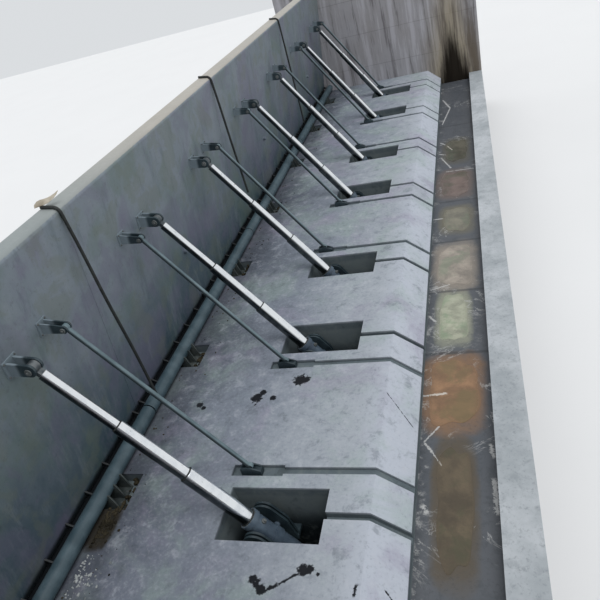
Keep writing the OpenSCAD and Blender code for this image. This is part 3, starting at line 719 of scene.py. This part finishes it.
def frame_of(spot, normal, side=Vector((0, 1, 0))):
    """Matrix that puts a piece built with Z up at spot, with Z along normal."""
    z = normal.normalized()
    x = side.cross(z)
    if x.length < 1e-6:
        x = Vector((1, 0, 0)).cross(z)
    x.normalize()
    y = z.cross(x)
    turn = Matrix([[c[row] for c in (x, y, z)] for row in range(3)]).to_4x4()
    return Matrix.Translation(spot) @ turn


def add_ring(mesh, place, radius, height, segments):
    """Vertices of a circle about Z, moved into place."""
    return [
        mesh.verts.new(place @ Vector((radius * math.cos(a), radius * math.sin(a), height)))
        for a in (2 * math.pi * k / segments for k in range(segments))
    ]


def join_rings(mesh, rings):
    """Skin over rings of vertices, closed at both ends."""
    count = len(rings[0])
    for low, high in zip(rings, rings[1:]):
        for k in range(count):
            m = (k + 1) % count
            mesh.faces.new((low[k], low[m], high[m], high[k]))
    mesh.faces.new(list(reversed(rings[0])))
    mesh.faces.new(rings[-1])


def lathe(mesh, profile, place, segments):
    """Shell of (radius, height) points turned about Z; a last radius of 0 closes its top."""
    rings = []
    for radius, height in profile:
        if radius < 1e-6:
            rings.append([mesh.verts.new(place @ Vector((0, 0, height)))])
            continue
        rings.append(add_ring(mesh, place, radius, height, segments))
    for low, high in zip(rings, rings[1:]):
        for k in range(segments):
            m = (k + 1) % segments
            if len(high) == 1:
                mesh.faces.new((low[k], low[m], high[0]))
            else:
                mesh.faces.new((low[k], low[m], high[m], high[k]))


def add_bolt(mesh, spot, normal, radius):
    """A hexagon head with its washer and a rounded top."""
    place = frame_of(spot, normal)
    lathe(mesh, [(radius * 1.35, 0), (radius * 1.35, radius * 0.2), (0, radius * 0.2)], place, 16)
    head = [(radius, radius * 0.2), (radius, radius * 0.85), (radius * 0.86, radius), (0, radius)]
    lathe(mesh, head, place, 6)


def add_tube(mesh, points, radius, sides):
    """A round tube along points, with closed ends."""
    rings = []
    for i, point in enumerate(points):
        before = points[max(i - 1, 0)]
        after = points[min(i + 1, len(points) - 1)]
        place = frame_of(point, (after - before), Vector((0.1, 1, 0.05)))
        rings.append(add_ring(mesh, place, radius, 0, sides))
    join_rings(mesh, rings)


def rope_points(n):
    """The route that the part's source gives the rope of joint n."""
    press = 0.0005
    bend = CREST_ROUND + ROPE_RADIUS - press
    edge = HINGE + (FACE - CREST_ROUND) * OUT + (LEAF_HEIGHT - CREST_ROUND) * UP
    bottom = SLAB_TOP + ROPE_ENDS[n - 1]
    y = leaf_y(n) + PITCH / 2 - ROPE_RADIUS
    points = [edge + bend * UP + s * OUT for s in (-0.177, -0.135, -0.090, -0.045, 0.0)]
    for degrees in (22, 36, 50, 64, 78):
        a = math.radians(degrees)
        points.append(edge + Vector((bend * math.sin(a), 0, bend * math.cos(a))))
    for point in points:
        point.y = y
    drop = edge.z - bottom
    steps = round(drop / 0.17)
    for i in range(steps + 1):
        fall = i * drop / steps
        sway = 0.007 * math.sin(2 * math.pi * fall / 1.9)
        points.append(Vector((edge.x + bend, y + sway, edge.z - fall)))
    return points


def add_ropes():
    """The rubber-covered ropes that hang at the joints; each stands for its CAD solid."""
    for n in (1, 2, 3):
        points = rope_points(n)
        mesh = bmesh.new()
        add_tube(mesh, points, ROPE_RADIUS, 12)
        rope = add_mesh(
            f"joint_rope_{n}_rubber", mesh, LOOKS["rope_rubber"], f"leaf_{n}", True
        )
        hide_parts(f"joint_rope_{n}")
        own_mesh(rope)


def add_rings():
    """Dark wiper rings where one stage slides out of the next."""
    # Body, place along the cylinder, and inner and outer radius
    rings = (
        ("middle_stages", MIDDLE_START, 0.0703, 0.0825),
        ("lower_stages", LOWER_START, 0.0888, 0.101),
        ("barrels", BARREL_START, 0.1073, 0.124),
    )
    for n in LEAVES:
        for body, start, inner, outer in rings:
            mesh = bmesh.new()
            for y in cylinder_ys(n):
                spot = PIN + start * AXIS
                spot.y = y
                place = frame_of(spot, -AXIS)
                profile = [
                    (inner, -0.006), (inner, 0.010), (inner + 0.004, 0.016),
                    (outer - 0.006, 0.012), (outer, 0.004), (outer, -0.001),
                ]
                lathe(mesh, profile, place, 40)
            add_mesh(
                f"wipers_{body}_{n}", mesh, LOOKS["rope_rubber"], f"{body}_{n}_body",
                True,
            )


def add_pools():
    """Flat sheets of water with a wavy rim, 3 mm above the bed of the trench."""
    for index, (x, y, half_x, half_y, tone) in enumerate(POOLS, 1):
        mesh = bmesh.new()
        rim = []
        for k in range(72):
            a = 2 * math.pi * k / 72
            c, s = math.cos(a), math.sin(a)
            reach = (abs(c) ** 4 + abs(s) ** 4) ** -0.25
            reach *= 0.86 + 0.05 * math.sin(3 * a + index) + 0.04 * math.sin(7 * a + 2 * index)
            spot = (x + half_x * reach * c, y + half_y * reach * s, DRAIN_BED + 0.003)
            rim.append(mesh.verts.new(spot))
        mesh.faces.new(rim)
        bmesh.ops.triangulate(mesh, faces=mesh.faces[:])
        water = pool_water(index, tone, (x, y), (half_x, half_y))
        add_mesh(f"pool_{index}", mesh, water, "foundation")


def add_cap(mesh, spot, side, radius):
    """Keeper disc with its bolt on the end of a pin that runs along Y."""
    outward = Vector((0, side, 0))
    place = frame_of(spot, outward, Vector((0, 0, 1)))
    lathe(mesh, [(radius, 0), (radius, 0.008), (radius - 0.004, 0.012), (0, 0.012)], place, 28)
    add_bolt(mesh, spot + 0.012 * outward, outward, radius * 0.36)


def add_bracket_fasteners():
    """Pin keepers and pad bolts of the brackets on each leaf."""
    # Pin's height on the leaf, its end and keeper radius, and the bolts' offsets on Y and up
    kinds = (
        (cylinder_ys, PIN, PIN_UP, 0.098, 0.046, 0.101, 0.098),
        (strut_ys, STRUT_PIN, STRUT_PIN_UP, 0.071, 0.036, 0.074, 0.083),
    )
    for n in LEAVES:
        mesh = bmesh.new()
        for ys, pin, up, reach, cap, half_y, half_up in kinds:
            for y in ys(n):
                for side in (-1, 1):
                    add_cap(mesh, Vector((pin.x, y + side * reach, pin.z)), side, cap)
                    for rise in (-half_up, half_up):
                        spot = HINGE + (FACE + 0.020) * OUT + (up + rise) * UP
                        spot.y = y + side * half_y
                        add_bolt(mesh, spot, OUT, 0.012)
        add_mesh(f"bracket_fasteners_{n}", mesh, ZINC, f"leaf_{n}")


def add_barrel_fittings():
    """Gland bolts, oil ports and trunnion keepers of the barrels."""
    across = Vector((math.cos(TILT), 0.0, math.sin(TILT)))
    for n in LEAVES:
        mesh = bmesh.new()
        for y in cylinder_ys(n):
            head = PIN + BARREL_START * AXIS
            head.y = y
            for k in range(12):
                a = 2 * math.pi * (k + 0.5) / 12
                turn = math.cos(a) * across + math.sin(a) * Vector((0, 1, 0))
                add_bolt(mesh, head + 0.1355 * turn, -AXIS, 0.0075)
            for down in (0.16, 0.98):
                port = frame_of(head + down * AXIS + 0.130 * across, across)
                boss = [(0.034, 0), (0.034, 0.020), (0.026, 0.024), (0, 0.024)]
                plug = [(0.020, 0.024), (0.020, 0.044), (0.016, 0.047), (0, 0.047)]
                lathe(mesh, boss, port, 24)
                lathe(mesh, plug, port, 6)
            trunnion = PIN + TRUNNION_START * AXIS
            for side in (-1, 1):
                add_cap(mesh, Vector((trunnion.x, y + side * 0.300, trunnion.z)), side, 0.058)
        add_mesh(f"barrel_fittings_{n}", mesh, ZINC, f"barrels_{n}_body")


def add_bearing_bolts():
    """Anchor bolts in the base plates of the hinge bearings."""
    base = SLAB_TOP - BLOCKOUT_DEPTH + BEARING_BASE
    mesh = bmesh.new()
    for n in LEAVES:
        for offset in (-BEARING_OFFSET, BEARING_OFFSET):
            for dx in (-0.175, 0.175):
                for dy in (-0.095, 0.095):
                    spot = Vector((HINGE.x + dx, leaf_y(n) + offset + dy, base))
                    add_bolt(mesh, spot, Vector((0, 0, 1)), 0.016)
    add_mesh("bearing_bolts", mesh, ZINC, "foundation")


def add_flap():
    """Torn piece of a seal strip that lies over the first rope and curls up at its tip."""
    # How far downstream of the face, beyond the joint and above the crest, and half width
    stations = (
        (-0.335, -0.030, 0.034, 0.030),
        (-0.300, -0.018, 0.056, 0.048),
        (-0.255, -0.004, 0.070, 0.052),
        (-0.210, 0.016, 0.076, 0.050),
        (-0.168, 0.044, 0.084, 0.046),
        (-0.132, 0.078, 0.098, 0.040),
        (-0.100, 0.116, 0.118, 0.032),
        (-0.076, 0.150, 0.140, 0.020),
        (-0.062, 0.176, 0.162, 0.008),
    )
    joint = HINGE + LEAF_HEIGHT * UP + FACE * OUT + Vector((0, leaf_y(1) + PITCH / 2, 0))
    across = Vector((0.0, 0.82, 0.0)) - 0.35 * OUT + 0.46 * UP
    mesh = bmesh.new()
    rings = []
    for i, (out, y, lift, half) in enumerate(stations):
        middle = joint + out * OUT + lift * UP + Vector((0, y, 0))
        fold = 0.010 * math.cos(1.9 * i)
        rings.append([
            mesh.verts.new(middle + s * half * across + (t + fold * (1 - abs(s))) * UP)
            for s, t in ((-1, 0), (-0.5, 0.001), (0, 0.002), (0.5, 0.001), (1, 0),
                         (1, 0.005), (0.5, 0.008), (0, 0.009), (-0.5, 0.008), (-1, 0.005))
        ])
    join_rings(mesh, rings)
    bmesh.ops.recalc_face_normals(mesh, faces=mesh.faces[:])
    add_mesh("flap_strip", mesh, TORN, "leaf_1", True)


def add_seals():
    """Painted seal strip along a leaf's edge at each joint, 5 mm from the next leaf."""
    for n in (1, 2, 3):
        mesh = bmesh.new()
        y = leaf_y(n) + PITCH / 2
        corners = []
        for dy in (-0.013, 0.007):
            for out, up in ((-0.060, -0.030), (0.0, -0.030), (0.0, 3.650), (-0.060, 3.650)):
                spot = HINGE + (FACE + out) * OUT + up * UP
                corners.append(mesh.verts.new((spot.x, y + dy, spot.z)))
        ends = ((0, 1, 2, 3), (7, 6, 5, 4))
        sides = ((0, 4, 5, 1), (1, 5, 6, 2), (2, 6, 7, 3), (3, 7, 4, 0))
        for face in ends + sides:
            mesh.faces.new([corners[k] for k in face])
        bmesh.ops.recalc_face_normals(mesh, faces=mesh.faces[:])
        add_mesh(f"edge_seal_{n}", mesh, LOOKS["leaf_paint"], f"leaf_{n}")


def chance(seed):
    """A fixed pseudo-random number from 0 to 1."""
    value = math.sin(seed * 12.9898 + 4.1414) * 43758.5453
    return value - math.floor(value)


def add_lump(mesh, spot, size, seed):
    """A broken lump of concrete or a stone."""
    made = bmesh.ops.create_icosphere(mesh, subdivisions=1, radius=size)["verts"]
    squash = (
        0.7 + 0.6 * chance(seed + 0.1),
        0.7 + 0.6 * chance(seed + 0.2),
        0.45 + 0.4 * chance(seed + 0.3),
    )
    for i, vert in enumerate(made):
        dent = 0.72 + 0.45 * chance(seed * 7 + i)
        vert.co = spot + Vector([c * s * dent for c, s in zip(vert.co, squash)])


def add_heap(mesh, seeds, start, width, middle, half, least, more):
    """Lumps on the slab, thickest at start on X from the hinge and about middle on Y."""
    for seed in seeds:
        x = HINGE.x + start + width * chance(seed) * chance(seed + 0.2)
        y = middle + half * (chance(seed + 0.4) + chance(seed + 0.6) - 1)
        size = least + more * chance(seed + 0.8) ** 2
        add_lump(mesh, Vector((x, y, SLAB_TOP + 0.3 * size)), size, seed)


def add_rubble():
    """Broken mortar in the block-outs and along the downstream side of the hinge tube."""
    for n in LEAVES:
        mesh = bmesh.new()
        for b, offset in enumerate((-BEARING_OFFSET, BEARING_OFFSET)):
            for k in range(34):
                seed = 100 * n + 50 * b + k
                x = HINGE.x + 0.24 + 0.155 * chance(seed)
                y = leaf_y(n) + offset + 0.28 * (2 * chance(seed + 0.5) - 1)
                z = SLAB_TOP - 0.165 + 0.08 * chance(seed + 0.7)
                add_lump(mesh, Vector((x, y, z)), 0.018 + 0.034 * chance(seed + 0.9), seed)
        for k in range(120):
            seed = 1000 * n + k
            spread = chance(seed + 0.3)
            x = HINGE.x + 0.15 + 0.55 * spread ** 2.2
            y = leaf_y(n) + 2.96 * (2 * chance(seed) - 1)
            if abs(abs(y - leaf_y(n)) - BEARING_OFFSET) < 0.32 and x < HINGE.x + 0.43:
                continue
            size = 0.005 + 0.016 * chance(seed + 0.8) ** 3
            add_lump(mesh, Vector((x, y, SLAB_TOP + 0.25 * size)), size, seed)
        if n == 1:
            add_heap(mesh, range(7000, 7110), 0.16, 0.26, HEAP_Y, 0.34, 0.010, 0.024)
        add_mesh(f"rubble_{n}", mesh, RUBBLE, "foundation")
    mesh = bmesh.new()
    add_heap(mesh, range(8000, 8090), 0.18, 0.50, PLASTER_Y, 0.45, 0.007, 0.018)
    add_mesh("plaster_bits", mesh, PLASTER, "foundation")


add_ropes()
add_rings()
add_pools()
add_bracket_fasteners()
add_barrel_fittings()
add_bearing_bolts()
add_flap()
add_seals()
add_rubble()
